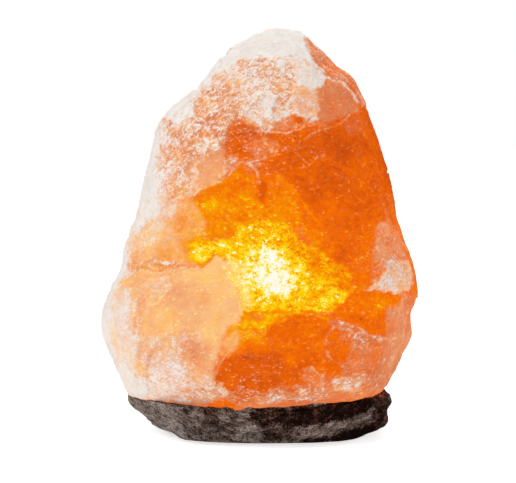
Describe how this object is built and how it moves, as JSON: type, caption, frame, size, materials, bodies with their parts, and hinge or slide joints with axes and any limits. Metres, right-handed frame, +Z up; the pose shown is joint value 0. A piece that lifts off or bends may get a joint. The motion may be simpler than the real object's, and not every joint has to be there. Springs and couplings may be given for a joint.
{
  "type": "salt crystal lamp",
  "caption": "Rough pink rock salt crystal lit from inside by a small screw-cap bulb, standing on a dark hewn base, with a clip-in lampholder that pulls out from below.",
  "frame": {"origin": "table level under the middle of the lamp's outline, on the axis of the hole drilled for the bulb", "axes": "+Z up, -Y towards the viewer of the picture, +X to the viewer's right"},
  "size_m": [0.166, 0.1306, 0.2106],
  "materials": {
    "pink_salt": "satin",
    "dark_wood": "satin",
    "pad_rubber": "matte",
    "zinc_steel": "satin",
    "grey_nylon": "matte",
    "black_phenolic": "satin",
    "contact_brass": "satin",
    "spring_steel": "satin",
    "solder": "satin",
    "black_glass": "gloss",
    "cap_brass": "satin",
    "clear_glass": "gloss",
    "stem_glass": "gloss",
    "wire_steel": "satin",
    "filament_wire": "satin"
  },
  "bodies": {
    "lamp": {"salt_crystal": "pink_salt", "hewn_base": "dark_wood", "foot_pads": "pad_rubber", "salt_screws": "zinc_steel", "screw_washers": "zinc_steel", "screw_plugs": "grey_nylon"},
    "lampholder": {"lampholder_body": "black_phenolic", "lampholder_cap": "black_phenolic", "clamp_ring": "black_phenolic", "entry_clamp": "grey_nylon", "entry_clamp_screws": "zinc_steel", "screw_shell": "contact_brass", "contact_leaf": "contact_brass", "terminal_blocks": "contact_brass", "terminal_screws": "zinc_steel", "clip_plate": "spring_steel"},
    "left_leaf": {"clip_leaf_left": "spring_steel"},
    "right_leaf": {"clip_leaf_right": "spring_steel"},
    "contact_tip": {"bulb_tip": "solder"},
    "bulb": {"bulb_insulator": "black_glass", "bulb_cap": "cap_brass", "bulb_glass": "clear_glass", "bulb_stem": "stem_glass", "bulb_lead_wires": "wire_steel", "filament_supports": "wire_steel", "bulb_filament": "filament_wire"}
  },
  "joints": [
    {"name": "holder_pull", "type": "slide", "parent": "lamp", "child": "lampholder", "axis": [0, 0, -1], "range_m": [0, 0.13]},
    {"name": "left_leaf_squeeze", "type": "hinge", "parent": "lampholder", "child": "left_leaf", "pos_m": [-0.0206, 0, 0.0458], "axis": [0, -1, 0], "range_deg": [0, 8], "stiffness_Nm_per_rad": 0.3},
    {"name": "right_leaf_squeeze", "type": "hinge", "parent": "lampholder", "child": "right_leaf", "pos_m": [0.0206, 0, 0.0458], "axis": [0, 1, 0], "range_deg": [0, 8], "stiffness_Nm_per_rad": 0.3},
    {"name": "bulb_withdraw", "type": "slide", "parent": "lampholder", "child": "contact_tip", "axis": [0, 0, 1], "range_m": [0, 0.0141]},
    {"name": "bulb_turn", "type": "hinge", "parent": "contact_tip", "child": "bulb", "pos_m": [0, 0, 0.0385], "axis": [0, 0, 1], "range_deg": [0, 1800]}
  ],
  "couplings": [
    {"joint": "bulb_turn", "follows": "bulb_withdraw", "rad_per_m": 2226.5}
  ]
}
